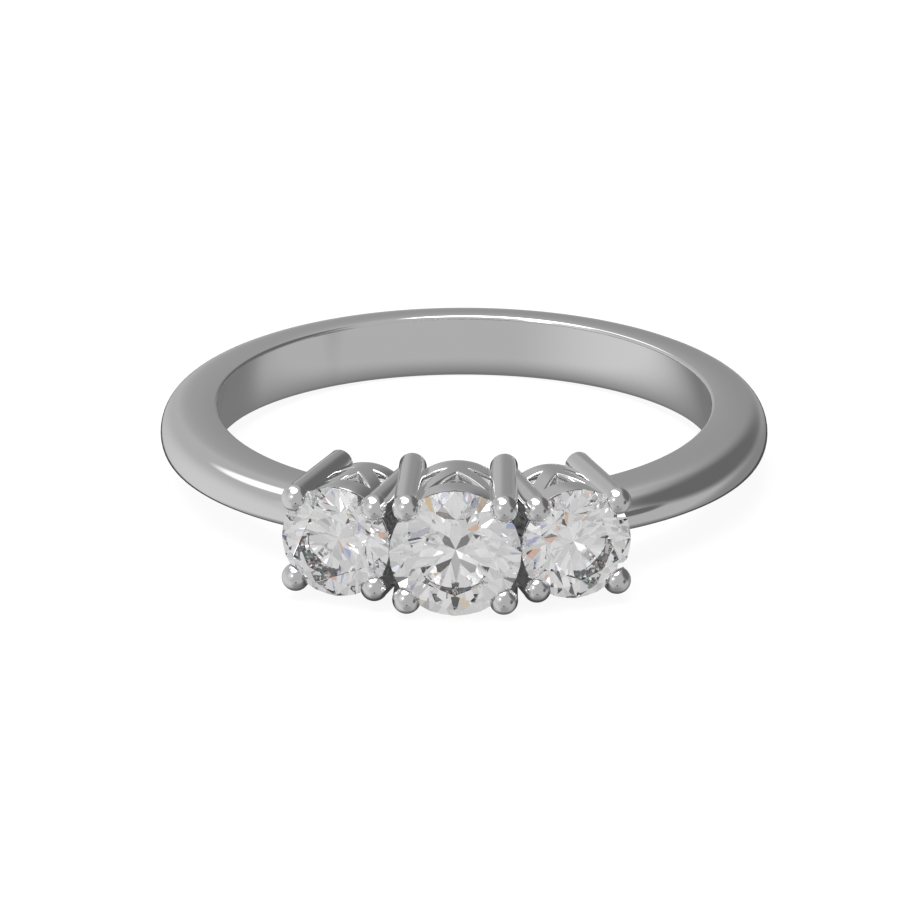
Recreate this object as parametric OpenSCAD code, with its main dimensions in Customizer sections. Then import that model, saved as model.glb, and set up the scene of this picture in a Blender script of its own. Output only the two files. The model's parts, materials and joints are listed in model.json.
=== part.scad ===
// Three stone ring lying on its side, as it rests on a table.
// The middle of the finger hole is the origin, the stones face -Y, and +Z is up from the table.
// All sizes are in millimetres.

/* [Finger hole] */
// Inside diameter of the band
bore_d = 17.3; // [15:0.1:21]

/* [Band] */
// Wall of the band at the back, opposite the stones
band_back_t = 1.63; // [1.3:0.01:2.2]
// Wall that the band grows to at the front, where the outer heads take over
band_front_t = 2.32; // [1.9:0.01:2.8]
// Width of the band at the back
band_back_w = 2.25; // [1.7:0.01:3.2]
// Width of the band halfway round
band_side_w = 1.87; // [1.5:0.01:2.8]
// Width of the band at the front
band_front_w = 1.42; // [1.2:0.01:1.8]
// Roundness of the crown: 2 is an even curve, more is flatter on top
crown_power = 2; // [1.6:0.05:3]
// Squareness of the flanks: more keeps them flat for longer
flank_power = 5.8; // [3:0.1:8]
// Radius that softens the two rims of the finger hole
rim_r = 0.12; // [0.05:0.01:0.2]
// Wall of the slim bridge that closes the band under the heads
bridge_t = 0.95; // [0.7:0.01:1.2]

/* [Stones] */
// Diameter of the centre stone
centre_d = 4.5; // [4.2:0.05:4.8]
// Diameter of each side stone
side_d = 3.9; // [3.6:0.05:4.1]
// Thickness of the girdle, the stone's outer edge
girdle_t = 0.13; // [0.08:0.01:0.18]
// Diameter of the flat table, as a share of the stone's diameter
table_share = 0.57; // [0.53:0.01:0.62]
// How far the star facets reach from the table to the girdle
star_share = 0.52; // [0.45:0.01:0.58]
// How far the lower half facets reach from the girdle to the point
lower_share = 0.77; // [0.7:0.01:0.85]
// Slope of the crown's main facets, in degrees
crown_slope = 34.5; // [32:0.5:36]
// Slope of the pavilion's main facets, in degrees
pavilion_slope = 40.8; // [40:0.1:42]
// Clearance between a stone and the metal that holds it
stone_clear = 0.03; // [0.02:0.005:0.06]

/* [Heads] */
// Angle between the centre head and each side head, seen along the finger
head_turn = 19; // [18.5:0.1:22]
// Distance from the finger's axis to the girdle of the centre stone
centre_reach = 12.94; // [12.6:0.01:13.4]
// Distance from the finger's axis to the girdle of a side stone
side_reach = 12.57; // [12.3:0.01:13]
// Radius of the ball that ends each prong of the centre head
centre_ball_r = 0.49; // [0.42:0.01:0.55]
// Radius of the ball that ends each prong of a side head
side_ball_r = 0.48; // [0.4:0.01:0.52]
// How much slimmer than its ball a prong is, on the radius
prong_step = 0.01; // [0:0.005:0.05]
// How far a ball laps over the edge of its stone
ball_lap = 0.4; // [0.3:0.01:0.45]
// How far the middle of a ball stands in front of the girdle
ball_front = 0.11; // [0.05:0.01:0.2]
// Lean of the prongs toward the head's own axis, in degrees
prong_lean = 1.7; // [0:0.1:3]

/* [Baskets] */
// Wall of a basket
basket_t = 0.4; // [0.3:0.01:0.5]
// How far the basket's edge lies inside the edge of the stone
basket_in = 0.04; // [0:0.01:0.1]
// Lean of a basket's wall toward the head's own axis, in degrees
basket_lean = 2.6; // [0:0.1:4]
// Height of the rail that carries the stone
upper_rail_h = 1.05; // [0.8:0.01:1.2]
// Height of the windows in the centre basket
centre_window_h = 1.7; // [1.3:0.01:1.8]
// Height of the windows in a side basket
side_window_h = 1.5; // [1.2:0.01:1.6]
// Height of the centre basket's rail nearest the finger
centre_rail_h = 0.9; // [0.6:0.01:1.1]
// Height of a side basket's rail nearest the finger
side_rail_h = 0.7; // [0.5:0.01:0.9]
// Width of the two slanted struts between the windows
strut_w = 0.62; // [0.4:0.01:0.7]
// How far behind the edge of a prong the middle line of a strut ends
strut_in = 0.24; // [0:0.01:0.3]

/* [Hidden] */
bore_r = bore_d / 2;
metal = [0.78, 0.79, 0.8];
gem = [0.93, 0.95, 0.97];
// Corners of the round shapes
round_n = 96;
// Turn of a head's corners, where its prongs stand
corner = 45;
// Overrun of the cuts past the faces that they open
over = 1;
// Angle between two sections of the band, steps over its crown and steps round a rim
section_step = 5;
crown_n = 16;
rim_n = 3;
// How far the band's blank reaches into the finger hole, before the hole is cut
rim_over = 0.03;
// Room between the bridge and the floor of a basket's hollow
floor_room = 0.1;

// Girdle radius, reach of the girdle plane, ball radius, turn, window height and height of the
// lower rail of the three heads
centre_head = [centre_d / 2, centre_reach, centre_ball_r, 0, centre_window_h, centre_rail_h];
left_head = [side_d / 2, side_reach, side_ball_r, -head_turn, side_window_h, side_rail_h];
right_head = [side_d / 2, side_reach, side_ball_r, head_turn, side_window_h, side_rail_h];
HEADS = [centre_head, left_head, right_head];

// Sizes of the band, with angles measured round the finger from the back
swell = (band_front_t - band_back_t) / 2;
mean_r = bore_r + (band_front_t + band_back_t) / 2;
function in_heads(a) = abs(a) > 180 - head_turn;
function band_wall(a) =
    in_heads(a) ? bridge_t
    : sqrt(pow(mean_r, 2) - pow(swell * sin(a), 2)) - swell * cos(a) - bore_r;
function band_width(a) =
    let (c = cos(a), mean_w = (band_back_w + band_front_w) / 2)
    band_side_w + (band_back_w - band_front_w) / 2 * c + (mean_w - band_side_w) * c * c;

// Outline of a section of the band as [distance from the finger's axis, height], top to bottom.
// It starts just inside the finger hole, which is cut through it later.
function rim(w) =
    let (turn = 90 / rim_n)
    concat(
        [[bore_r - rim_over, w / 2 - rim_r - rim_over / tan(turn / 2)]],
        [
            for (i = [1 : rim_n])
                [bore_r + rim_r - rim_r * cos(turn * i), w / 2 - rim_r + rim_r * sin(turn * i)]
        ]
    );
function crown(w, t) = [
    for (i = [1 : crown_n - 1])
        let (a = 180 * i / crown_n, side = cos(a) < 0 ? -1 : 1)
        [bore_r + t * pow(sin(a), 2 / flank_power), side * w / 2 * pow(abs(cos(a)), 2 / crown_power)]
];
function under(points) = [for (i = [len(points) - 1 : -1 : 0]) [points[i].x, -points[i].y]];
function band_section(a) =
    let (w = band_width(a))
    concat(rim(w), crown(w, band_wall(a)), under(rim(w)));

// Sideways place of a prong's middle line, a given distance behind the middle of its ball
function prong_side(head, back) = (head[0] + head[2] - ball_lap - back * tan(prong_lean)) * cos(corner);

// The ring is laid down until a straight table touches it at both ends. These are its lowest
// points, as [y, height]: ball and foot of a lower prong in front, edge of the band at the back.
foot_side = prong_side(centre_head, centre_reach + ball_front - bore_r);
front_low = [
    [-centre_reach - ball_front, -prong_side(centre_head, 0) - centre_ball_r],
    [-sqrt(pow(bore_r, 2) - pow(foot_side, 2)), -foot_side - centre_ball_r + prong_step]
];
back_low = [for (p = band_section(0)) if (p.x > bore_r && p.y < 0) p];
rest_tilt = atan(max([
    for (f = front_low)
        min([for (b = back_low) (b.y - f.y) / (b.x - f.x)])
]));
module rest_pose() {
    rotate([-rest_tilt, 0, 0]) children();
}

// Places a shape that stands on the finger's axis and points along +Z on the axis of a head
module on_head(head) {
    rotate([90, 0, head[3]]) children();
}

// The whole band before the finger hole is cut: full shoulders, and the bridge under the heads
module band_blank() {
    sections = [
        for (a = [-180 : section_step : 180 - section_step])
            [for (p = band_section(a)) [p.x * sin(a), p.x * cos(a), p.y]]
    ];
    n = len(sections);
    m = len(sections[0]);
    faces = [
        for (i = [0 : n - 1], j = [0 : m - 1])
            let (i2 = (i + 1) % n, j2 = (j + 1) % m)
            each [
                [i * m + j, i * m + j2, i2 * m + j2],
                [i * m + j, i2 * m + j2, i2 * m + j]
            ]
    ];
    polyhedron(points = [for (s = sections) each s], faces = faces);
}

// Front edge of a basket, and the edges of its windows, as distances from the finger's axis
function basket_front(head) = head[1] - girdle_t / 2 - stone_clear;
function window_front(head) = basket_front(head) - upper_rail_h;
function window_back(head) = window_front(head) - head[4];
function basket_back(head) = window_back(head) - head[5];
// Outer radius of a basket at a distance from the finger's axis
function basket_r(head, reach) = head[0] - basket_in - (basket_front(head) - reach) * tan(basket_lean);

// A cone round the head's axis that follows the basket wall, a given depth inside it
module basket_cone(head, from, to, inset) {
    translate([0, 0, from])
        cylinder(
            r1 = basket_r(head, from) - inset,
            r2 = basket_r(head, to) - inset,
            h = to - from,
            $fn = round_n
        );
}

// Four round wires that end in balls over the edge of the stone and run back to the finger hole
module prongs(head) {
    length = head[1] + ball_front - bore_r + over;
    for (i = [0 : 3])
        rotate([0, 0, corner + 90 * i])
            translate([head[0] + head[2] - ball_lap, 0, head[1] + ball_front]) {
                sphere(r = head[2], $fn = round_n);
                rotate([0, prong_lean, 0])
                    translate([0, 0, -length])
                        cylinder(r = head[2] - prong_step, h = length, $fn = round_n);
            }
}

// Windows through the upper and lower sides of a basket: the middle one has its point at the
// lower rail, between two struts that rise from there to the prongs. They reach in to where the
// inner wall turns behind a prong, and the prongs cover their outer ends.
module windows(head) {
    front = window_front(head);
    back = window_back(head);
    prong = prong_side(head, head[1] + ball_front - (front + back) / 2);
    end = prong - head[2] + prong_step + strut_in;
    slope = end / head[4];
    half_strut = strut_w / 2 * sqrt(1 + slope * slope);
    depth = (basket_r(head, back) - basket_t) * cos(corner);
    for (side = [0, 180])
        rotate([90, 0, side])
            translate([0, 0, depth])
                linear_extrude(height = head[0] + over - depth) {
                    polygon([[0, back + half_strut / slope], [end - half_strut, front], [half_strut - end, front]]);
                    for (x = [-1, 1])
                        polygon([
                            [x * half_strut, back],
                            [x * prong, back],
                            [x * prong, back + (prong - half_strut) / slope]
                        ]);
                }
}

// Profile of the room that a stone needs in the metal, as [radius, distance from the finger's axis]
module stone_room(head) {
    edge = head[0] + stone_clear;
    half = girdle_t / 2;
    rise = stone_clear / cos(crown_slope);
    drop = stone_clear / cos(pavilion_slope);
    table_z = half + crown_h(head[0]) + stone_clear;
    translate([0, 0, head[1]])
        rotate_extrude($fn = round_n)
            polygon([
                [0, -half - pavilion_h(head[0]) - drop],
                [edge, -half - drop + stone_clear * tan(pavilion_slope)],
                [edge, half + rise - stone_clear * tan(crown_slope)],
                [head[0] - (table_z - half - rise) / tan(crown_slope), table_z],
                [0, table_z]
            ]);
}

// Shank and heads are one casting: the solid parts first, then every room inside them
module ring_mount() {
    color(metal) rest_pose() difference() {
        union() {
            band_blank();
            for (head = HEADS)
                on_head(head) {
                    difference() {
                        basket_cone(head, basket_back(head), basket_front(head), 0);
                        windows(head);
                    }
                    prongs(head);
                }
        }
        for (head = HEADS)
            on_head(head) {
                basket_cone(head, bore_r + bridge_t + floor_room, head[1], basket_t);
                stone_room(head);
            }
        cylinder(r = bore_r, h = 2 * centre_reach, center = true, $fn = round_n);
    }
}

// Round brilliant: a table and 32 facets above the girdle, 24 facets below it
mains = 8;
main_turn = 360 / mains;
function crown_h(r) = r * (1 - table_share) * tan(crown_slope);
function pavilion_h(r) = r * tan(pavilion_slope);
function at(r, a, z) = [r * cos(a), r * sin(a), z];
function corners(n, start, r, z) = [for (i = [0 : n - 1]) at(r, start + 360 / n * i, z)];
// Height over the girdle's edge of the corner where two main facets and a small one meet
function crease_h(edge_r, r, slope) = (edge_r - r * cos(main_turn / 2)) * tan(slope);
// Dip of the girdle's edge in the middle of a half facet, whose plane cuts it in a shallow curve
function dip(edge_r, r, h) =
    let (
        n = cross(at(edge_r, main_turn / 2, 0) - at(edge_r, 0, 0), at(r, main_turn / 2, h) - at(edge_r, 0, 0)),
        p = at(edge_r, main_turn / 4, 0) - at(edge_r, 0, 0)
    )
    (n.x * p.x + n.y * p.y) / n.z;

module stone(r) {
    half = girdle_t / 2;
    table_r = r * table_share;
    flat_r = table_r * cos(main_turn / 2);
    star_r = flat_r + star_share * (r - flat_r);
    lower_r = r * (1 - lower_share);
    star_h = crease_h(r, star_r, crown_slope);
    lower_h = crease_h(r, lower_r, pavilion_slope);
    edge_n = 4 * mains;
    points = concat(
        corners(mains, 0, table_r, half + crown_h(r)),
        corners(mains, main_turn / 2, star_r, half + star_h),
        [for (i = [0 : edge_n - 1]) at(r, 360 / edge_n * i, half - (i % 2) * dip(r, star_r, star_h))],
        [for (i = [0 : edge_n - 1]) at(r, 360 / edge_n * i, -half + (i % 2) * dip(r, lower_r, lower_h))],
        corners(mains, main_turn / 2, lower_r, -half - lower_h),
        [[0, 0, -half - pavilion_h(r)]]
    );
    star = mains;
    upper = 2 * mains;
    lower = upper + edge_n;
    crease = lower + edge_n;
    point = crease + mains;
    faces = concat(
        [[for (i = [mains - 1 : -1 : 0]) i]],
        [for (i = [0 : edge_n - 1]) let (k = (i + 1) % edge_n) [upper + i, upper + k, lower + k, lower + i]],
        [
            for (i = [0 : mains - 1])
                let (next = (i + 1) % mains, last = (i + mains - 1) % mains, g = 4 * i, h = 4 * next)
                each [
                    [next, star + i, i],
                    [star + i, upper + g, star + last, i],
                    [upper + g + 2, upper + g + 1, upper + g, star + i],
                    [upper + h, upper + g + 3, upper + g + 2, star + i],
                    [crease + i, lower + g, lower + g + 1, lower + g + 2],
                    [crease + i, lower + g + 2, lower + g + 3, lower + h],
                    [crease + last, lower + g, crease + i, point]
                ]
        ]
    );
    polyhedron(points = points, faces = faces);
}

module seated_stone(head) {
    color(gem) rest_pose() on_head(head) translate([0, 0, head[1]]) stone(head[0]);
}
module centre_stone() {
    seated_stone(centre_head);
}
module left_stone() {
    seated_stone(left_head);
}
module right_stone() {
    seated_stone(right_head);
}

ring_mount();
centre_stone();
left_stone();
right_stone();
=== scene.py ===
# %% [markdown]
# # A three stone ring, lying on a table
# The real ring is one polished casting with three cut stones in it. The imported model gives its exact
# sizes and place. Here the metal is made again with clean, smooth surfaces, because a mirror finish
# shows every flat facet of a coarse mesh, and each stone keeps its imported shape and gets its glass.

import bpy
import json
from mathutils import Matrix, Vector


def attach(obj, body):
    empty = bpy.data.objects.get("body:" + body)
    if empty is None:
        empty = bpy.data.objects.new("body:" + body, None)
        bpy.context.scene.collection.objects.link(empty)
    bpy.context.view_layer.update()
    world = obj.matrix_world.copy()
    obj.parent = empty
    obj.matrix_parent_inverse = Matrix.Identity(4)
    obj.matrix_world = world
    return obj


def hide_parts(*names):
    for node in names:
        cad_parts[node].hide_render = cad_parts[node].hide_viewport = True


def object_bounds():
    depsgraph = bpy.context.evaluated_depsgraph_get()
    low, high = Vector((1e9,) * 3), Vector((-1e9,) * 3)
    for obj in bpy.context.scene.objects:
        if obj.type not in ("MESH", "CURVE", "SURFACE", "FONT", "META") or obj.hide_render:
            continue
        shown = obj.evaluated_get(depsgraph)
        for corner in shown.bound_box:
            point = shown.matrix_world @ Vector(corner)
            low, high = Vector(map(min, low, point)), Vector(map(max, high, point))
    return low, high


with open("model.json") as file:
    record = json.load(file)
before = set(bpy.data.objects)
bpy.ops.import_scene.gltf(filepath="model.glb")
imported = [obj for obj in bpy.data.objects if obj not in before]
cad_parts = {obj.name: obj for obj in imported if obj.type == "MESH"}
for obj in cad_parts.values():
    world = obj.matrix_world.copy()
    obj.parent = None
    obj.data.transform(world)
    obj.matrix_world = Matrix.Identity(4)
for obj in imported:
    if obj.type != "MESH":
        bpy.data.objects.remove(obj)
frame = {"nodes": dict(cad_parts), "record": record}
cad_box = [list(corner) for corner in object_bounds()]
print("CAD box in metres:", cad_box)

# %% [markdown]
# ## Units and the ring's own frame
# The ring is easiest to model upright in its own frame: the finger hole's axis is Z, the stones face
# -Y, and sizes are in millimetres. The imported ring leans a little, because it rests on a table, and
# the record gives the lean as the finger hole's axis. One matrix takes every finished piece there.

# %% Units and frame
import json
import math

import bmesh
import bpy
from mathutils import Matrix, Vector

MM = 0.001
bore_axis = Vector(frame["record"]["mounts"][0]["axis"])
rest_tilt = math.atan2(bore_axis.y, bore_axis.z)
TO_ROW = Matrix.Rotation(-rest_tilt, 4, "X") @ Matrix.Scale(MM, 4)
print("The ring leans by", round(math.degrees(rest_tilt), 2), "degrees")

# %% [markdown]
# ## Sizes
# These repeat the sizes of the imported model, in millimetres and degrees, so that every smooth piece
# lies where its solid lies. A head is a row of values: the girdle's radius, how far the girdle stands
# from the finger's axis, the radius of its prongs' balls, its turn round the finger, and the heights
# of its windows and of its lower rail.

# %% Sizes
BORE_R = 8.65
BAND_BACK_T = 1.63
BAND_FRONT_T = 2.32
BAND_BACK_W = 2.25
BAND_SIDE_W = 1.87
BAND_FRONT_W = 1.42
CROWN_POWER = 2
FLANK_POWER = 5.8
RIM_R = 0.12
BRIDGE_T = 0.95
GIRDLE_T = 0.13
TABLE_SHARE = 0.57
CROWN_SLOPE = math.radians(34.5)
PAVILION_SLOPE = math.radians(40.8)
STONE_CLEAR = 0.03
HEAD_TURN = 19
PRONG_STEP = 0.01
BALL_LAP = 0.4
BALL_FRONT = 0.11
PRONG_LEAN = math.radians(1.7)
BASKET_LEAN = math.radians(2.6)
BASKET_T = 0.4
BASKET_IN = 0.04
UPPER_RAIL_H = 1.05
STRUT_W = 0.62
STRUT_IN = 0.24
FLOOR_ROOM = 0.1
CORNER = math.radians(45)


class Head:
    def __init__(self, name, stone_d, reach, ball_r, turn, window_h, rail_h):
        self.name = name
        self.girdle_r = stone_d / 2
        self.reach = reach
        self.ball_r = ball_r
        self.rod_r = ball_r - PRONG_STEP
        self.window_h = window_h
        self.front = reach - GIRDLE_T / 2 - STONE_CLEAR
        self.window_front = self.front - UPPER_RAIL_H
        self.window_back = self.window_front - window_h
        self.back = self.window_back - rail_h
        self.to_ring = Matrix.Rotation(math.radians(turn), 4, "Z") @ Matrix.Rotation(math.pi / 2, 4, "X")

    def wall_r(self, reach):
        """Outer radius of the basket's leaning wall, at a distance from the finger's axis."""
        return self.girdle_r - BASKET_IN - (self.front - reach) * math.tan(BASKET_LEAN)


HEADS = [
    Head("centre", 4.5, 12.94, 0.49, 0, 1.7, 0.9),
    Head("left", 3.9, 12.57, 0.48, -HEAD_TURN, 1.5, 0.7),
    Head("right", 3.9, 12.57, 0.48, HEAD_TURN, 1.5, 0.7),
]
for head in HEADS:
    print(head.name, "basket from", round(head.back, 3), "to", round(head.front, 3), "mm")

# %% [markdown]
# ## The camera
# The picture was taken with a very long lens, a little above the ring and almost straight in front
# of its stones. The camera's small shift places the ring in the frame without turning the view.

# %% Camera
PHOTO_SIDE = 900
CAMERA_AZIMUTH = math.radians(1.36)
CAMERA_RISE = math.radians(19.46) + rest_tilt
CAMERA_DISTANCE = 402.9 * MM
FOCAL_PIXELS = 11495.3
BORE_PIXEL = (464.31, 426.38)

camera_data = bpy.data.cameras.new("camera")
camera = bpy.data.objects.new("camera", camera_data)
bpy.context.scene.collection.objects.link(camera)
bpy.context.scene.camera = camera
toward_camera = Vector((
    math.sin(CAMERA_AZIMUTH) * math.cos(CAMERA_RISE),
    -math.cos(CAMERA_AZIMUTH) * math.cos(CAMERA_RISE),
    math.sin(CAMERA_RISE),
))
camera.location = toward_camera * CAMERA_DISTANCE
camera.rotation_mode = "QUATERNION"
camera.rotation_quaternion = (-toward_camera).to_track_quat("-Z", "Y")
camera_data.sensor_width = 36
camera_data.lens = FOCAL_PIXELS * camera_data.sensor_width / PHOTO_SIDE
camera_data.shift_x = (PHOTO_SIDE / 2 - BORE_PIXEL[0]) / PHOTO_SIDE
camera_data.shift_y = (BORE_PIXEL[1] - PHOTO_SIDE / 2) / PHOTO_SIDE
camera_data.clip_start = 0.01
camera_data.clip_end = 20
print("Lens", round(camera_data.lens, 1), "mm")
print("Shift", round(camera_data.shift_x, 4), round(camera_data.shift_y, 4))

# %% [markdown]
# ## The studio
# A mirror finish shows nothing but its surroundings, so the studio is most of the look. It could be
# built from lamps and cards, but they would stand in the way of other views. A world shader paints
# them on the sky instead: a grey room, a large soft lamp overhead, smaller ones behind on the left
# and beside the camera, and a dark card on the right that draws the long dark band on the shank.
# Stones look brighter than metal in such a room, because their facets gather light from all of it,
# so rays that come out of a stone meet a paler sky with small marks that give the facets contrast.

# %% A soft lamp as a node group
def link(tree, start, end):
    tree.links.new(start, end)


def lamp_group():
    """Mask of a round soft patch in the sky: 1 inside its inner angle, 0 outside its outer angle."""
    group = bpy.data.node_groups.new("soft_patch", "ShaderNodeTree")
    new = group.interface.new_socket
    new("Direction", in_out="INPUT", socket_type="NodeSocketVector")
    new("Middle", in_out="INPUT", socket_type="NodeSocketVector")
    new("Inner Cosine", in_out="INPUT", socket_type="NodeSocketFloat")
    new("Outer Cosine", in_out="INPUT", socket_type="NodeSocketFloat")
    new("Mask", in_out="OUTPUT", socket_type="NodeSocketFloat")
    start = group.nodes.new("NodeGroupInput")
    end = group.nodes.new("NodeGroupOutput")
    dot = group.nodes.new("ShaderNodeVectorMath")
    dot.operation = "DOT_PRODUCT"
    ramp = group.nodes.new("ShaderNodeMapRange")
    ramp.interpolation_type = "SMOOTHSTEP"
    link(group, start.outputs["Direction"], dot.inputs[0])
    link(group, start.outputs["Middle"], dot.inputs[1])
    link(group, dot.outputs["Value"], ramp.inputs["Value"])
    link(group, start.outputs["Outer Cosine"], ramp.inputs["From Min"])
    link(group, start.outputs["Inner Cosine"], ramp.inputs["From Max"])
    link(group, ramp.outputs["Result"], end.inputs["Mask"])
    return group


def sky_point(azimuth, rise):
    """Direction of a point in the sky: azimuth 0 is over the camera and positive to its right."""
    a, e = math.radians(azimuth), math.radians(rise)
    return (math.sin(a) * math.cos(e), -math.cos(a) * math.cos(e), math.sin(e))


def paint(sky, colour, patches):
    """Lays soft patches over a colour, later ones on top, and hands back the last colour."""
    place = sky.nodes.new("ShaderNodeTexCoord")
    for name, azimuth, rise, inner, outer, level in patches:
        patch = sky.nodes.new("ShaderNodeGroup")
        patch.name = name
        patch.node_tree = SOFT_PATCH
        link(sky, place.outputs["Generated"], patch.inputs["Direction"])
        patch.inputs["Middle"].default_value = sky_point(azimuth, rise)
        patch.inputs["Inner Cosine"].default_value = math.cos(math.radians(inner))
        patch.inputs["Outer Cosine"].default_value = math.cos(math.radians(outer))
        colour = mix_colours(sky, patch.outputs["Mask"], colour, (*level, 1))
    return colour


def mix_colours(tree, factor, start, end):
    mix = tree.nodes.new("ShaderNodeMix")
    mix.data_type = "RGBA"
    link(tree, factor, mix.inputs["Factor"])
    for name, value in (("A", start), ("B", end)):
        socket = next(i for i in mix.inputs if i.name == name and i.type == "RGBA")
        if isinstance(value, tuple):
            socket.default_value = value
        else:
            link(tree, value, socket)
    return next(o for o in mix.outputs if o.type == "RGBA")


# %% Paint the sky that the metal mirrors
# Each row is: name, middle azimuth, middle height, inner angle, outer angle, colour that it leads to.
def grey(level):
    return (level, level, level)


def plain(sky, level):
    colour = sky.nodes.new("ShaderNodeRGB").outputs["Color"]
    colour.default_value = (*level, 1)
    return colour


ROOM = grey(0.46)
ROOM_PATCHES = [
    ("left_low_light", -100, -35, 15, 75, grey(0.64)),
    ("front_left_light", -45, 28, 6, 34, grey(0.68)),
    ("front_floor_shade", 10, -58, 6, 36, grey(0.32)),
    ("right_low_shade", 145, -25, 8, 34, grey(0.24)),
    ("under_shade", 180, -68, 10, 36, grey(0.17)),
    ("back_shade", 168, 12, 6, 26, grey(0.3)),
    ("right_dark_card", 106, 24, 20, 44, grey(0.142)),
    ("right_front_card", 66, -2, 9, 17, grey(0.142)),
    ("right_back_card", 138, 22, 10, 34, grey(0.142)),
    ("back_floor_shade", 180, -33, 18, 25, grey(0.07)),
    ("back_top_lamp", -150, 64, 6, 16, grey(1.1)),
    ("back_left_lamp", -142, 51, 2, 18, grey(1.5)),
    ("front_left_lamp", -35, 28, 4, 8, grey(3.2)),
    ("overhead_lamp", -60, 79, 19, 27, grey(4.5)),
    ("lens_dot", 3, -26.5, 4, 7, grey(0.02)),
]
SOFT_PATCH = lamp_group()
world = bpy.data.worlds.new("studio")
bpy.context.scene.world = world
world.use_nodes = True
sky = world.node_tree
sky.nodes.clear()
room = paint(sky, plain(sky, ROOM), ROOM_PATCHES)
print("The metal's sky has", len(ROOM_PATCHES), "patches")

# %% [markdown]
# ## Fire
# A real stone splits light a little more at each turn that the light takes inside it, so its small,
# deep reflections flash in colour. The renderer doesn't split light. A few cells of the sky are
# coloured instead, and rays that took many turns see more of them.

# %% Coloured flecks in the stones
def colour_steps(tree, steps):
    """A ramp that jumps from colour to colour, from rows of start and colour."""
    ramp = tree.nodes.new("ShaderNodeValToRGB")
    ramp.color_ramp.interpolation = "CONSTANT"
    while len(ramp.color_ramp.elements) < len(steps):
        ramp.color_ramp.elements.new(0.5)
    for element, (position, colour) in zip(ramp.color_ramp.elements, steps):
        element.position = position
        element.color = (*colour, 1)
    return ramp


STONE_TONES = (0.54, 0.74)
FLECK_SCALE = 16
FEW_TURNS = 5.4
MANY_TURNS = 7
FLECKS_START = (0.88, 0.45)
FIRE = [
    (0.0, (0.5, 0.5, 0.5)),
    (0.3, (0.1, 0.1, 0.11)),
    (0.5, (1.1, 1.1, 1.1)),
    (0.7, (0.62, 0.42, 0.33)),
    (0.8, (0.36, 0.41, 0.6)),
    (0.9, (0.64, 0.55, 0.42)),
]
cells = sky.nodes.new("ShaderNodeTexVoronoi")
cells.inputs["Scale"].default_value = FLECK_SCALE
link(sky, sky.nodes.new("ShaderNodeTexCoord").outputs["Generated"], cells.inputs["Vector"])
split = sky.nodes.new("ShaderNodeSeparateColor")
link(sky, cells.outputs["Color"], split.inputs["Color"])
fire = colour_steps(sky, FIRE)
link(sky, split.outputs["Green"], fire.inputs["Fac"])
seen = sky.nodes.new("ShaderNodeLightPath")
start = sky.nodes.new("ShaderNodeMapRange")
start.inputs["From Min"].default_value = FEW_TURNS
start.inputs["From Max"].default_value = MANY_TURNS
start.inputs["To Min"].default_value = FLECKS_START[0]
start.inputs["To Max"].default_value = FLECKS_START[1]
link(sky, seen.outputs["Ray Depth"], start.inputs["Value"])
chosen = sky.nodes.new("ShaderNodeMath")
chosen.operation = "GREATER_THAN"
link(sky, split.outputs["Red"], chosen.inputs[0])
link(sky, start.outputs["Result"], chosen.inputs[1])
low, high = ((*grey(tone), 1) for tone in STONE_TONES)
stone_sky = mix_colours(sky, split.outputs["Blue"], low, high)
stone_sky = mix_colours(sky, chosen.outputs["Value"], stone_sky, fire.outputs["Color"])
print("Fire has", len(FIRE), "kinds of fleck")

# %% Paint the sky that the stones gather
STONE_PATCHES = [
    ("stone_lamp", -43, 33, 4, 6, grey(1.6)),
    ("stone_lamp_left", -39, 53, 1, 2, grey(1.5)),
    ("stone_top_lamp", -13, -4, 2, 3, grey(0.8)),
    ("stone_lens", -1, 6, 3, 5, grey(0.1)),
    ("stone_lens_rim", -1, 14, 2, 3, grey(0.42)),
    ("stone_shade_left", 10, -27, 3, 5, grey(0.2)),
    ("stone_shade_right", -10, -25, 3, 5, grey(0.2)),
    ("stone_top_left", 66, 39, 4, 7, (0.36, 0.36, 0.42)),
    ("stone_top_right", -78, 41, 4, 7, (0.3, 0.3, 0.36)),
    ("stone_top_middle", -52, 26, 2.5, 4, grey(0.42)),
    ("stone_gold_left", -71, 4, 3, 5, (0.62, 0.46, 0.24)),
    ("stone_gold_right", 69, 7, 3, 5, (0.4, 0.32, 0.22)),
    ("stone_lilac_left", 31, 51, 1.2, 2.4, (0.34, 0.35, 0.55)),
    ("stone_lilac_right", -37, 51, 1.2, 2.4, (0.34, 0.34, 0.5)),
    ("stone_dark_left", 81, 10, 3, 6, (0.12, 0.1, 0.08)),
    ("stone_dark_right", -32, 18, 1.5, 3, (0.13, 0.12, 0.1)),
]
stone_sky = paint(sky, stone_sky, STONE_PATCHES)
print("The stones' sky has", len(STONE_PATCHES), "patches")

# Rays that only pass through a stone come in by its back, as through a window of its basket.
# They meet a dark sky instead of the room: painted shade for the dark inside of the basket.
PASSING = 4.5
PASSING_SHADE = 0.1
passing = sky.nodes.new("ShaderNodeMath")
passing.operation = "LESS_THAN"
passing.inputs[1].default_value = PASSING
link(sky, seen.outputs["Ray Depth"], passing.inputs[0])
stone_sky = mix_colours(sky, passing.outputs["Value"], stone_sky, (*grey(PASSING_SHADE), 1))

# %% Choose the sky by what the ray has met
colour = mix_colours(sky, seen.outputs["Is Transmission Ray"], room, stone_sky)
colour = mix_colours(sky, seen.outputs["Is Camera Ray"], colour, (1, 1, 1, 1))
background = sky.nodes.new("ShaderNodeBackground")
link(sky, colour, background.inputs["Color"])
output = sky.nodes.new("ShaderNodeOutputWorld")
link(sky, background.outputs["Background"], output.inputs["Surface"])
bpy.context.scene.view_settings.view_transform = "Standard"
print("The sky is chosen by", len(output.inputs["Surface"].links), "shader")

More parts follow.
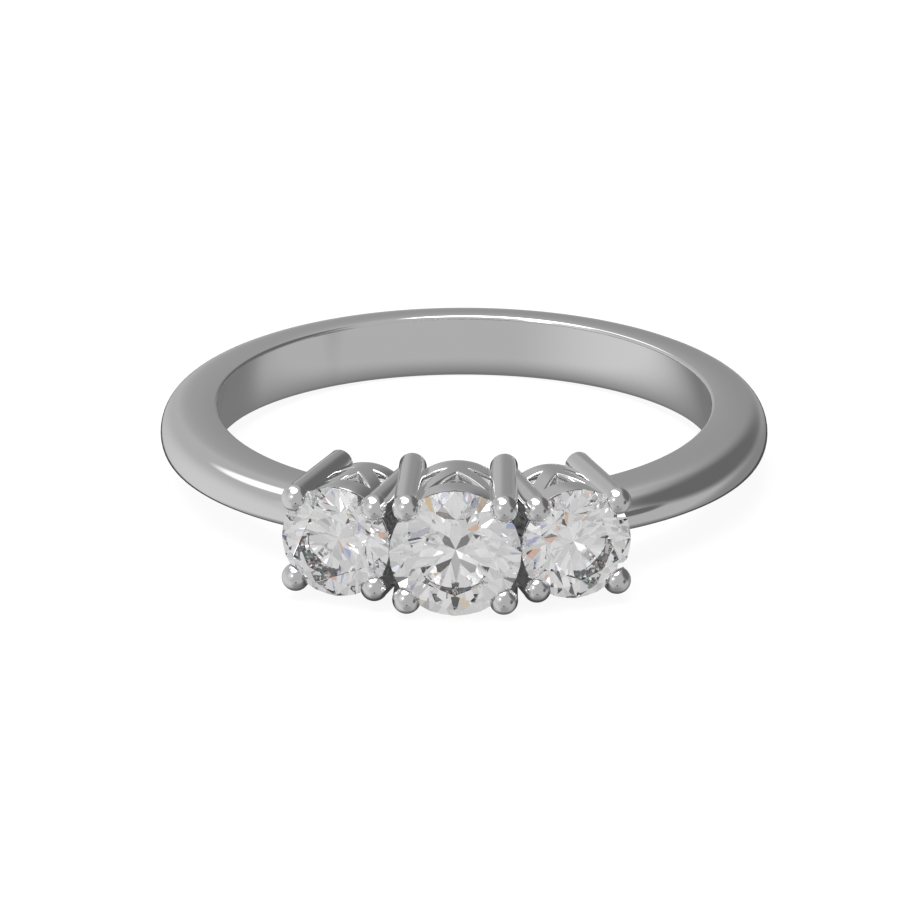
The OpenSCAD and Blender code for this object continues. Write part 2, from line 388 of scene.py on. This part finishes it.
# %% [markdown]
# ## The table
# A plain pale table top, lit from inside like the glass of a light box, so that the ring throws only
# a faint shadow. Metal and stones don't mirror it, and keep the light grey of the studio below too,
# but for the shade that the ring throws on itself: inside the band, and under the heads.

# %% Table
TABLE_SIZE = 4
table_mesh = bmesh.new()
bmesh.ops.create_grid(table_mesh, x_segments=1, y_segments=1, size=TABLE_SIZE / 2)
bmesh.ops.translate(table_mesh, verts=table_mesh.verts, vec=(0, 0, cad_box[0][2]))
table_data = bpy.data.meshes.new("table_top")
table_mesh.to_mesh(table_data)
table_mesh.free()
table = bpy.data.objects.new("table_top", table_data)
bpy.context.scene.collection.objects.link(table)
table.visible_transmission = False

paper = bpy.data.materials.new("pale_paper")
paper.use_nodes = True
nodes = paper.node_tree.nodes
shader = nodes["Principled BSDF"]
shader.inputs["Roughness"].default_value = 0.9
shader.inputs["Specular IOR Level"].default_value = 0.1
shader.inputs["Emission Color"].default_value = (1, 1, 1, 1)
shader.inputs["Emission Strength"].default_value = 0.9
fibre = nodes.new("ShaderNodeTexNoise")
fibre.inputs["Scale"].default_value = 900
tone = nodes.new("ShaderNodeMapRange")
tone.inputs["To Min"].default_value = 0.13
tone.inputs["To Max"].default_value = 0.15
link(paper.node_tree, nodes.new("ShaderNodeTexCoord").outputs["Object"], fibre.inputs["Vector"])
link(paper.node_tree, fibre.outputs["Fac"], tone.inputs["Value"])
link(paper.node_tree, tone.outputs["Result"], shader.inputs["Base Color"])
print("Paper ready:", paper.name)

# %% Shade that only the metal sees
BAND_SHADE = 0.2
HEADS_SHADE = 0.06
BAND_SHADE_IN = (0.7, 1)
BAND_SHADE_OUT = (1.12, 1.06)
HEADS_MIDDLE = -11.3
HEADS_REACH = (7.4, 2.6)
HEADS_EDGE = (1, 0.6)


def shade_mask(tree, middle, reach, start, end):
    """Mask on the table that grows from start to end, both shares of the reach from a middle point."""
    away = tree.nodes.new("ShaderNodeVectorMath")
    away.operation = "SUBTRACT"
    away.inputs[1].default_value = (0, middle * MM, 0)
    share = tree.nodes.new("ShaderNodeVectorMath")
    share.operation = "MULTIPLY"
    share.inputs[1].default_value = (1 / (reach[0] * MM), 1 / (reach[1] * MM), 0)
    length = tree.nodes.new("ShaderNodeVectorMath")
    length.operation = "LENGTH"
    ramp = tree.nodes.new("ShaderNodeMapRange")
    ramp.interpolation_type = "SMOOTHSTEP"
    ramp.inputs["From Min"].default_value = min(start, end)
    ramp.inputs["From Max"].default_value = max(start, end)
    ramp.inputs["To Min"].default_value = float(start > end)
    ramp.inputs["To Max"].default_value = float(start < end)
    link(tree, tree.nodes.new("ShaderNodeTexCoord").outputs["Object"], away.inputs[0])
    link(tree, away.outputs["Vector"], share.inputs[0])
    link(tree, share.outputs["Vector"], length.inputs[0])
    link(tree, length.outputs["Value"], ramp.inputs["Value"])
    return ramp.outputs["Result"]


def combine(tree, operation, first, second):
    node = tree.nodes.new("ShaderNodeMath")
    node.operation = operation
    link(tree, first, node.inputs[0])
    link(tree, second, node.inputs[1])
    return node.outputs["Value"]


tree = paper.node_tree
inside = shade_mask(tree, 0, (BORE_R, BORE_R), *BAND_SHADE_IN)
not_outside = shade_mask(tree, 0, (BORE_R, BORE_R), *BAND_SHADE_OUT)
under_band = combine(tree, "MULTIPLY", inside, not_outside)
under_heads = shade_mask(tree, HEADS_MIDDLE, HEADS_REACH, *HEADS_EDGE)
tones = [(*grey(BAND_SHADE), 1), (*grey(HEADS_SHADE), 1)]
shade = nodes.new("ShaderNodeEmission")
link(tree, mix_colours(tree, under_heads, *tones), shade.inputs["Color"])
mirrored = nodes.new("ShaderNodeMixShader")
link(tree, combine(tree, "MAXIMUM", under_band, under_heads), mirrored.inputs["Fac"])
link(tree, nodes.new("ShaderNodeBsdfTransparent").outputs["BSDF"], mirrored.inputs[1])
link(tree, shade.outputs["Emission"], mirrored.inputs[2])
chosen = nodes.new("ShaderNodeMixShader")
link(tree, nodes.new("ShaderNodeLightPath").outputs["Is Glossy Ray"], chosen.inputs["Fac"])
link(tree, shader.outputs["BSDF"], chosen.inputs[1])
link(tree, mirrored.outputs["Shader"], chosen.inputs[2])
link(tree, chosen.outputs["Shader"], nodes["Material Output"].inputs["Surface"])
table_data.materials.append(paper)
print("Table top at", round(cad_box[0][2] / MM, 3), "mm")

# %% [markdown]
# ## Polished white metal
# Rhodium plating is a hard, almost colourless mirror. A flat mirror looks too perfect, so a noise
# varies its gloss a little, as wiping does, and a finer one gives it a polish that is only nearly
# even. Both read Object coordinates, so they stay on the ring when it moves.

# %% Polish as a node group
def polish_group():
    group = bpy.data.node_groups.new("polish", "ShaderNodeTree")
    new = group.interface.new_socket
    new("Place", in_out="INPUT", socket_type="NodeSocketVector")
    new("Gloss Low", in_out="INPUT", socket_type="NodeSocketFloat")
    new("Gloss High", in_out="INPUT", socket_type="NodeSocketFloat")
    new("Roughness", in_out="OUTPUT", socket_type="NodeSocketFloat")
    new("Height", in_out="OUTPUT", socket_type="NodeSocketFloat")
    start = group.nodes.new("NodeGroupInput")
    end = group.nodes.new("NodeGroupOutput")
    wipe = group.nodes.new("ShaderNodeTexNoise")
    wipe.inputs["Scale"].default_value = 420
    wipe.inputs["Detail"].default_value = 3
    grain = group.nodes.new("ShaderNodeTexNoise")
    grain.inputs["Scale"].default_value = 5200
    grain.inputs["Detail"].default_value = 2
    ramp = group.nodes.new("ShaderNodeMapRange")
    ramp.inputs["From Min"].default_value = 0.3
    ramp.inputs["From Max"].default_value = 0.7
    link(group, start.outputs["Place"], wipe.inputs["Vector"])
    link(group, start.outputs["Place"], grain.inputs["Vector"])
    link(group, wipe.outputs["Fac"], ramp.inputs["Value"])
    link(group, start.outputs["Gloss Low"], ramp.inputs["To Min"])
    link(group, start.outputs["Gloss High"], ramp.inputs["To Max"])
    link(group, ramp.outputs["Result"], end.inputs["Roughness"])
    link(group, grain.outputs["Fac"], end.inputs["Height"])
    return group


# %% Metal
metal = bpy.data.materials.new("white_metal")
metal.use_nodes = True
tree = metal.node_tree
shader = tree.nodes["Principled BSDF"]
shader.inputs["Base Color"].default_value = (0.9, 0.9, 0.905, 1)
shader.inputs["Metallic"].default_value = 1
polish = tree.nodes.new("ShaderNodeGroup")
polish.node_tree = polish_group()
polish.inputs["Gloss Low"].default_value = 0.03
polish.inputs["Gloss High"].default_value = 0.07
bump = tree.nodes.new("ShaderNodeBump")
bump.inputs["Strength"].default_value = 0.02
bump.inputs["Distance"].default_value = 0.00001
link(tree, tree.nodes.new("ShaderNodeTexCoord").outputs["Object"], polish.inputs["Place"])
link(tree, polish.outputs["Roughness"], shader.inputs["Roughness"])
link(tree, polish.outputs["Height"], bump.inputs["Height"])
link(tree, bump.outputs["Normal"], shader.inputs["Normal"])

# A ray is dropped after four mirror bounces, which would leave black holes in the narrow gaps and
# in the stones. Metal that is met that late glows a little instead, in fine stripes, because such a
# gap mirrors its own edges over and over.
LAST_BOUNCE = 3.5
STRIPE_SCALE = 1500
STRIPE_TONES = (0.02, 0.24)
THROUGH_STONE_GLOW = 0.5
GLOW_STRENGTH = 0.45
path = tree.nodes.new("ShaderNodeLightPath")
late = tree.nodes.new("ShaderNodeMath")
late.operation = "GREATER_THAN"
late.inputs[1].default_value = LAST_BOUNCE
link(tree, path.outputs["Ray Depth"], late.inputs[0])
stripes = tree.nodes.new("ShaderNodeTexWave")
stripes.bands_direction = "DIAGONAL"
stripes.inputs["Scale"].default_value = STRIPE_SCALE
stripes.inputs["Distortion"].default_value = 1
link(tree, tree.nodes.new("ShaderNodeTexCoord").outputs["Object"], stripes.inputs["Vector"])
low, high = ((*grey(tone), 1) for tone in STRIPE_TONES)
striped = mix_colours(tree, stripes.outputs["Fac"], low, high)
# Metal met that late through a stone glows an even grey instead of stripes: painted light.
through = tree.nodes.new("ShaderNodeMath")
through.operation = "GREATER_THAN"
through.inputs[1].default_value = 0.5
link(tree, path.outputs["Transmission Depth"], through.inputs[0])
glow = mix_colours(tree, through.outputs["Value"], striped, (*grey(THROUGH_STONE_GLOW), 1))
glow = mix_colours(tree, late.outputs["Value"], (0, 0, 0, 1), glow)
link(tree, glow, shader.inputs["Emission Color"])
shader.inputs["Emission Strength"].default_value = GLOW_STRENGTH
print("Metal ready:", metal.name)

# %% [markdown]
# ## Helpers for the pieces
# A finished piece goes from the ring's frame to the table, is shaded smooth, and keeps its flat
# faces flat with weighted normals. The prongs' notches are cut with an exact Boolean, which is the
# sure way where a round wire meets the cone of a stone.

# %% Helpers
SHARP = math.radians(33)


def finish_piece(name, bm):
    bmesh.ops.remove_doubles(bm, verts=bm.verts, dist=1e-5)
    bmesh.ops.recalc_face_normals(bm, faces=bm.faces)
    open_edges = sum(not edge.is_manifold for edge in bm.edges)
    bmesh.ops.transform(bm, matrix=TO_ROW, verts=bm.verts)
    for face in bm.faces:
        face.smooth = True
    for edge in bm.edges:
        edge.smooth = edge.calc_face_angle(math.pi) < SHARP
    data = bpy.data.meshes.new(name)
    bm.to_mesh(data)
    bm.free()
    piece = bpy.data.objects.new(name, data)
    bpy.context.scene.collection.objects.link(piece)
    data.materials.append(metal)
    even = piece.modifiers.new("weighted_normals", "WEIGHTED_NORMAL")
    even.keep_sharp = True
    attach(piece, "root")
    print(name, "has", len(data.polygons), "faces and", open_edges, "open edges")
    return piece


def scratch_object(name, bm):
    data = bpy.data.meshes.new(name)
    bm.to_mesh(data)
    bm.free()
    made = bpy.data.objects.new(name, data)
    bpy.context.scene.collection.objects.link(made)
    return made


def cut_away(bm, tool):
    """Hands back the closed shape bm with the closed shape tool cut out of it."""
    body = scratch_object("cut_body", bm)
    cutter = scratch_object("cut_tool", tool)
    cut = body.modifiers.new("cut", "BOOLEAN")
    cut.operation = "DIFFERENCE"
    cut.solver = "EXACT"
    cut.object = cutter
    done = body.evaluated_get(bpy.context.evaluated_depsgraph_get())
    result = bmesh.new()
    result.from_mesh(done.to_mesh())
    done.to_mesh_clear()
    for scratch in (body, cutter):
        data = scratch.data
        bpy.data.objects.remove(scratch)
        bpy.data.meshes.remove(data)
    return result


def lathe(outline, steps):
    """Turns an outline of [radius, height] points, from the axis back to the axis, round Z."""
    bm = bmesh.new()
    points = [bm.verts.new((radius, 0, height)) for radius, height in outline]
    edges = [bm.edges.new(pair) for pair in zip(points, points[1:])]
    bmesh.ops.spin(
        bm, geom=points + edges, cent=(0, 0, 0), axis=(0, 0, 1), dvec=(0, 0, 0),
        angle=2 * math.pi, steps=steps, use_merge=True,
    )
    bmesh.ops.remove_doubles(bm, verts=bm.verts, dist=1e-5)
    bmesh.ops.recalc_face_normals(bm, faces=bm.faces)
    return bm


# %% [markdown]
# ## The band
# On the real ring the band is cast with a rounded outside, a flat inside and softly broken rims. It
# could be a bent tube, but its width and wall change all the way round. So one section is drawn as
# a circle pressed square on its sides, spun round the finger, and each of its stations is then
# stretched to the width and wall that the band has there. Under the heads it steps to a slim bridge.

# %% The band's sizes round the finger
STATIONS = 144
SECTION_POINTS = 64
RIM_SEGMENTS = 4
SHOULDER_END = 180 - HEAD_TURN - 8.5
STEP_END = 0.1
SWELL = (BAND_FRONT_T - BAND_BACK_T) / 2
MEAN_R = BORE_R + (BAND_FRONT_T + BAND_BACK_T) / 2
SECTION_W = BAND_SIDE_W
SECTION_T = 1.9


def band_wall(angle):
    """Wall of the band, with the angle in degrees from the back."""
    if abs(angle) > SHOULDER_END + STEP_END / 2:
        return BRIDGE_T
    a = math.radians(angle)
    return math.sqrt(MEAN_R ** 2 - (SWELL * math.sin(a)) ** 2) - SWELL * math.cos(a) - BORE_R


def band_width(angle):
    c = math.cos(math.radians(angle))
    mean_w = (BAND_BACK_W + BAND_FRONT_W) / 2
    return BAND_SIDE_W + (BAND_BACK_W - BAND_FRONT_W) / 2 * c + (mean_w - BAND_SIDE_W) * c * c


# %% Draw the section and spin it
band = bmesh.new()
bmesh.ops.create_circle(band, cap_ends=True, segments=SECTION_POINTS, radius=1)
bmesh.ops.delete(band, geom=[v for v in band.verts if v.co.x < -1e-6], context="VERTS")
for v in band.verts:
    out = max(v.co.x, 0) ** (2 / FLANK_POWER)
    side = math.copysign(abs(v.co.y) ** (2 / CROWN_POWER), v.co.y)
    v.co = (BORE_R + SECTION_T * out, 0, SECTION_W / 2 * side)
section_corners = [v for v in band.verts if abs(v.co.x - BORE_R) < 1e-4]
bmesh.ops.contextual_create(band, geom=band.verts[:])
print("Section drawn with", len(band.verts), "points and", len(section_corners), "corners")
bmesh.ops.bevel(
    band, geom=section_corners, offset=RIM_R, offset_type="OFFSET", segments=RIM_SEGMENTS,
    profile=0.5, affect="VERTICES", clamp_overlap=True, material=-1,
)
bmesh.ops.delete(band, geom=band.faces[:], context="FACES_ONLY")
bmesh.ops.spin(
    band, geom=band.verts[:] + band.edges[:], cent=(0, 0, 0), axis=(0, 0, 1), dvec=(0, 0, 0),
    angle=2 * math.pi, steps=STATIONS, use_merge=True,
)

# %% Stretch each station to its own width and wall
for v in band.verts:
    angle = math.degrees(math.atan2(v.co.x, v.co.y))
    angle = round(angle * STATIONS / 360) * 360 / STATIONS
    if SHOULDER_END + 1e-3 < abs(angle) < SHOULDER_END + 360 / STATIONS + 1e-3:
        angle = math.copysign(SHOULDER_END + STEP_END, angle)
    r = BORE_R + (math.hypot(v.co.x, v.co.y) - BORE_R) * band_wall(angle) / SECTION_T
    z = v.co.z * band_width(angle) / SECTION_W
    v.co = (r * math.sin(math.radians(angle)), r * math.cos(math.radians(angle)), z)
band_piece = finish_piece("band", band)
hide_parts("ring_mount")

# %% [markdown]
# ## The room that each stone takes
# Real prongs are notched for the stone's edge, so that they lap over its crown and hold it from
# below. The notch is the stone's own outline, turned on a lathe with a small clearance.

# %% Stone room
ROUND_STEPS = 128


def crown_h(head):
    return head.girdle_r * (1 - TABLE_SHARE) * math.tan(CROWN_SLOPE)


def stone_room(head):
    edge = head.girdle_r + STONE_CLEAR
    half = GIRDLE_T / 2
    rise = STONE_CLEAR / math.cos(CROWN_SLOPE)
    drop = STONE_CLEAR / math.cos(PAVILION_SLOPE)
    top = half + crown_h(head) + STONE_CLEAR
    bm = lathe(
        [
            (0, -half - head.girdle_r * math.tan(PAVILION_SLOPE) - drop),
            (edge, -half - drop + STONE_CLEAR * math.tan(PAVILION_SLOPE)),
            (edge, half + rise - STONE_CLEAR * math.tan(CROWN_SLOPE)),
            (head.girdle_r - (top - half - rise) / math.tan(CROWN_SLOPE), top),
            (0, top),
        ],
        ROUND_STEPS,
    )
    bmesh.ops.translate(bm, verts=bm.verts, vec=(0, 0, head.reach))
    return bm


# %% [markdown]
# ## The prongs
# Each prong is a round wire with a ball on its end, and it runs back to the finger hole, where the
# hole's own curve cuts it off. A lathe gives wire and ball in one skin. The end's points are then
# slid along the wire until they lie on the finger hole, so that the cut follows the finger.

# %% One prong
BALL_STEPS = 20
PRONG_STEPS = 56
ROD_RINGS = 12
ROD_END = 0.6
END_SOFT = 0.035
END_STEPS = 4
END_RINGS = (0.8, 0.5, 0.2)


def prong_outline(head, length):
    """From the ball's tip down the wire to the middle of its cut end."""
    neck = math.acos(-math.sqrt(head.ball_r ** 2 - head.rod_r ** 2) / head.ball_r)
    neck_height = head.ball_r * math.cos(neck)
    ball = [neck * i / BALL_STEPS for i in range(BALL_STEPS + 1)]
    ring_step = (ROD_END - length - neck_height) / ROD_RINGS
    rod = [neck_height + ring_step * i for i in range(1, ROD_RINGS + 1)]
    turn = [math.pi / 2 * i / END_STEPS for i in range(END_STEPS + 1)]
    face_r = head.rod_r - END_SOFT
    soft_end = [(face_r + END_SOFT * math.cos(a), END_SOFT - length - END_SOFT * math.sin(a)) for a in turn]
    return (
        [(head.ball_r * math.sin(a), head.ball_r * math.cos(a)) for a in ball]
        + [(head.rod_r, height) for height in rod]
        + soft_end
        + [(head.rod_r * share, -length) for share in END_RINGS]
        + [(0, -length)]
    )


def along_to_hole(place, x, y):
    """How far a point of the prong's section slides along the wire until it meets the finger hole."""
    start = place @ Vector((x, y, 0))
    way = place.to_3x3() @ Vector((0, 0, -1))
    a = way.x ** 2 + way.z ** 2
    b = start.x * way.x + start.z * way.z
    c = start.x ** 2 + start.z ** 2 - BORE_R ** 2
    return (-b - math.sqrt(b * b - a * c)) / a


def prong(head, quarter):
    length = head.reach + BALL_FRONT - BORE_R
    place = (
        Matrix.Rotation(CORNER + quarter * math.pi / 2, 4, "Z")
        @ Matrix.Translation((head.girdle_r + head.ball_r - BALL_LAP, 0, head.reach + BALL_FRONT))
        @ Matrix.Rotation(PRONG_LEAN, 4, "Y")
    )
    bm = lathe(prong_outline(head, length), PRONG_STEPS)
    for v in bm.verts:
        if v.co.z < 1.5 * END_SOFT - length:
            v.co.z -= along_to_hole(place, v.co.x, v.co.y) - length
    bmesh.ops.transform(bm, matrix=place, verts=bm.verts)
    return cut_away(bm, stone_room(head))


def four_prongs(head):
    whole = bmesh.new()
    for quarter in range(4):
        part = prong(head, quarter)
        bmesh.ops.transform(part, matrix=head.to_ring, verts=part.verts)
        data = bpy.data.meshes.new("scratch")
        part.to_mesh(data)
        part.free()
        whole.from_mesh(data)
        bpy.data.meshes.remove(data)
    return finish_piece(head.name + "_prongs", whole)


for head in HEADS:
    four_prongs(head)

# %% [markdown]
# ## The pierced baskets
# A basket can be cast, or sawn from sheet: a strip is pierced while it is flat, its edges are broken,
# and it is rolled into a ring under the stone. That order suits a mesh too, because bevels are clean
# on flat metal. Sawing leaves an upper rail under the stone, a lower rail by the finger, and two
# slanted struts between them on each side. Polishing rounds every edge, which then catches light.

# %% The strip's sizes
EDGE_SOFT = 0.06
EDGE_SEGMENTS = 3
ROLL_STEPS = 96
SAW_STEP = 0.12
HOLLOW_FLOOR = BORE_R + BRIDGE_T + FLOOR_ROOM


def seat_height(head, radius):
    """Where the seat under the stone lies, parallel to the pavilion."""
    gap = STONE_CLEAR / math.cos(PAVILION_SLOPE)
    return head.reach - GIRDLE_T / 2 - gap - (head.girdle_r - radius) * math.tan(PAVILION_SLOPE)


def windows(head):
    """The three triangles on one side of a basket, as corners of [side, reach]."""
    front, back = head.window_front, head.window_back
    down = head.reach + BALL_FRONT - (front + back) / 2
    at_prong = (head.girdle_r + head.ball_r - BALL_LAP - down * math.tan(PRONG_LEAN)) * math.cos(CORNER)
    end = at_prong - head.rod_r + STRUT_IN
    slope = end / head.window_h
    half_strut = STRUT_W / 2 * math.sqrt(1 + slope * slope)
    middle = [(0, back + half_strut / slope), (end - half_strut, front), (half_strut - end, front)]
    outer = [(half_strut, back), (at_prong, back), (at_prong, back + (at_prong - half_strut) / slope)]
    return [middle, outer, [(-side, reach) for side, reach in outer]]


# %% Draw, pierce and roll a strip
def saw_line(bm, head, corners, turn):
    """Closed outline of a window on the flat strip, with enough points for the strip to be rolled."""
    points = []
    for (side, reach), (next_side, next_reach) in zip(corners, corners[1:] + corners[:1]):
        steps = math.ceil(math.hypot(next_side - side, next_reach - reach) / SAW_STEP)
        for i in range(steps):
            x = side + (next_side - side) * i / steps
            y = reach + (next_reach - reach) * i / steps
            along = head.girdle_r * (math.asin(x / head.wall_r(y)) + turn)
            points.append(bm.verts.new((along, y, 0)))
    for pair in zip(points, points[1:] + points[:1]):
        bm.edges.new(pair)


def flat_strip(head):
    """The pierced strip, flat: along the strip in x, reach in y, and depth in z, with broken edges."""
    length = 2 * math.pi * head.girdle_r
    top = seat_height(head, head.wall_r(head.front))
    bm = bmesh.new()
    corners = ((0, head.back), (length, head.back), (length, top), (0, top))
    ends = [bm.verts.new((x, y, 0)) for x, y in corners]
    for pair in zip(ends, ends[1:] + ends[:1]):
        bm.edges.new(pair)
    for turn in (math.pi / 2, 3 * math.pi / 2):
        for corners in windows(head):
            saw_line(bm, head, corners, turn)
    bmesh.ops.triangle_fill(bm, edges=bm.edges[:], use_beauty=True)
    grown = bmesh.ops.extrude_face_region(bm, geom=bm.faces[:])["geom"]
    inner = [v for v in grown if isinstance(v, bmesh.types.BMVert)]
    bmesh.ops.translate(bm, verts=inner, vec=(0, 0, -BASKET_T))
    for v in inner:
        if v.co.y > top - 1e-4:
            v.co.y -= BASKET_T * math.tan(PAVILION_SLOPE)
    bmesh.ops.recalc_face_normals(bm, faces=bm.faces)
    across = [face for face in bm.faces if abs(face.normal.x) > 0.99]
    caps = [face for face in across if not 1e-4 < face.calc_center_median().x < length - 1e-4]
    bmesh.ops.delete(bm, geom=caps, context="FACES_ONLY")
    sharp = [edge for edge in bm.edges if edge.calc_face_angle(0) > SHARP]
    bmesh.ops.bevel(
        bm, geom=sharp, offset=EDGE_SOFT, offset_type="OFFSET", segments=EDGE_SEGMENTS, profile=0.5,
        affect="EDGES", clamp_overlap=True, material=-1,
    )
    print(head.name, "strip:", len(sharp), "sharp edges softened,", len(caps), "end faces left open")
    return bm


def roll(bm, head):
    """Cuts the flat strip into narrow panels and rolls it round the head's axis."""
    length = 2 * math.pi * head.girdle_r
    for step in range(1, ROLL_STEPS):
        everything = bm.verts[:] + bm.edges[:] + bm.faces[:]
        place = (length * step / ROLL_STEPS, 0, 0)
        bmesh.ops.bisect_plane(bm, geom=everything, dist=1e-5, plane_co=place, plane_no=(1, 0, 0))
    for v in bm.verts:
        angle = v.co.x / head.girdle_r - math.pi / 2
        radius = head.wall_r(v.co.y) + v.co.z
        v.co = (radius * math.sin(angle), radius * math.cos(angle), v.co.y)
    bmesh.ops.remove_doubles(bm, verts=bm.verts, dist=1e-4)
    stray = [face for face in bm.faces if any(edge.is_boundary for edge in face.edges)]
    bmesh.ops.delete(bm, geom=stray, context="FACES")
    print(head.name, "strip rolled,", len(stray), "stray faces removed")


def basket_floor(bm, head):
    """Closes the basket on the band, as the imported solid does."""
    low_r, high_r = (head.wall_r(reach) - BASKET_T / 2 for reach in (head.back, HOLLOW_FLOOR))
    outline = [(0, head.back), (low_r, head.back), (high_r, HOLLOW_FLOOR), (0, HOLLOW_FLOOR)]
    disc = lathe(outline, ROLL_STEPS)
    data = bpy.data.meshes.new("scratch")
    disc.to_mesh(data)
    disc.free()
    bm.from_mesh(data)
    bpy.data.meshes.remove(data)


# %% Make the three baskets
for head in HEADS:
    basket = flat_strip(head)
    roll(basket, head)
    basket_floor(basket, head)
    bmesh.ops.transform(basket, matrix=head.to_ring, verts=basket.verts)
    finish_piece(head.name + "_basket", basket)

# %% [markdown]
# ## The stones
# Each stone is a round brilliant: a flat table, a crown and girdle round it, and a deep pavilion
# below that sends the light back up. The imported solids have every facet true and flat, so they stay,
# and only their glass is made here: clear, with the strong bending of light that gives the sparkle.

# %% Gem
gem = bpy.data.materials.new("clear_gem")
gem.use_nodes = True
tree = gem.node_tree
shader = tree.nodes["Principled BSDF"]
shader.inputs["Base Color"].default_value = (1, 1, 1, 1)
shader.inputs["Roughness"].default_value = 0
shader.inputs["IOR"].default_value = 2.4
shader.inputs["Specular Tint"].default_value = (0.35, 0.35, 0.35, 1)
shader.inputs["Transmission Weight"].default_value = 1

# A ray is also dropped after four turns inside a stone. A stone that is met that late glows in fine
# grains, pale ones and a few dark or coloured ones, as its deepest reflections do.
GRAIN_SCALE = 9000
GRAIN_GLOW = 0.15
GRAIN_TONES = [
    (0.0, (0.4, 0.4, 0.4)),
    (0.4, (0.04, 0.04, 0.05)),
    (0.66, (0.9, 0.9, 0.9)),
    (0.78, (2.6, 2.6, 2.6)),
    (0.86, (1.1, 0.42, 0.22)),
    (0.91, (0.3, 0.42, 1.0)),
    (0.955, (0.35, 0.9, 0.75)),
]
grains = tree.nodes.new("ShaderNodeTexVoronoi")
grains.inputs["Scale"].default_value = GRAIN_SCALE
link(tree, tree.nodes.new("ShaderNodeTexCoord").outputs["Object"], grains.inputs["Vector"])
grain = tree.nodes.new("ShaderNodeSeparateColor")
link(tree, grains.outputs["Color"], grain.inputs["Color"])
kinds = colour_steps(tree, GRAIN_TONES)
link(tree, grain.outputs["Red"], kinds.inputs["Fac"])
late = tree.nodes.new("ShaderNodeMath")
late.operation = "GREATER_THAN"
late.inputs[1].default_value = LAST_BOUNCE + 1
link(tree, tree.nodes.new("ShaderNodeLightPath").outputs["Ray Depth"], late.inputs[0])
glow = mix_colours(tree, late.outputs["Value"], (0, 0, 0, 1), kinds.outputs["Color"])
link(tree, glow, shader.inputs["Emission Color"])
shader.inputs["Emission Strength"].default_value = GRAIN_GLOW
for head in HEADS:
    stone = frame["nodes"][head.name + "_stone"]
    stone.data.materials.clear()
    stone.data.materials.append(gem)
